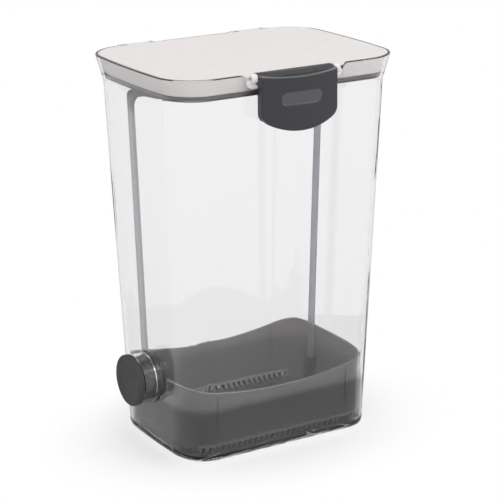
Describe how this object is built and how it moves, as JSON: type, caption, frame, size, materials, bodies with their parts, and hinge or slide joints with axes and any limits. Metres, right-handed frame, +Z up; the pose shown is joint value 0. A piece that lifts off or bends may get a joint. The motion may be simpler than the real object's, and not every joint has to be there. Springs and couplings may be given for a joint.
{
  "type": "herb keeper",
  "caption": "Tall clear tapered food keeper with a hinged latched lid, a lift-out basket with an arch handle and a stopper in its side neck.",
  "frame": {"origin": "middle of the container's base, on the surface it stands on", "axes": "+Z up; -Y is the long side with the latch, +Y the long side with the hinges; the stopper is on the -X end"},
  "size_m": [0.1638, 0.1327, 0.24],
  "materials": {
    "clear_plastic": "clear, polished",
    "smoky_plastic": "smoky, see-through, polished",
    "liner_plastic": "clear, polished",
    "lid_plastic": "warm off-white, semi-gloss",
    "gasket_silicone": "grey silicone, matt",
    "latch_plastic": "dark grey, fine satin",
    "stopper_silicone": "dark grey silicone, matt",
    "pin_steel": "plain steel"
  },
  "bodies": {
    "base": {"container": "clear_plastic", "hinge_pin_left": "pin_steel", "hinge_pin_right": "pin_steel", "basket": "smoky_plastic", "basket_handle": "smoky_plastic"},
    "lid": {"lid_cover": "lid_plastic", "lid_liner": "liner_plastic", "lid_gasket": "gasket_silicone", "latch_pin": "pin_steel"},
    "latch_flap": {"latch": "latch_plastic"},
    "stopper": {"spout_stopper": "stopper_silicone"}
  },
  "joints": [
    {"name": "lid_hinge", "type": "hinge", "parent": "base", "child": "lid", "pos_m": [0, 0.062, 0.2368], "axis": [-1, 0, 0], "range_deg": [0, 105]},
    {"name": "latch_hinge", "type": "hinge", "parent": "lid", "child": "latch_flap", "pos_m": [0, -0.0583, 0.2374], "axis": [-1, 0, 0], "range_deg": [0, 88]},
    {"name": "stopper_pull", "type": "slide", "parent": "base", "child": "stopper", "axis": [-1, 0, 0], "range_m": [0, 0.024]}
  ]
}
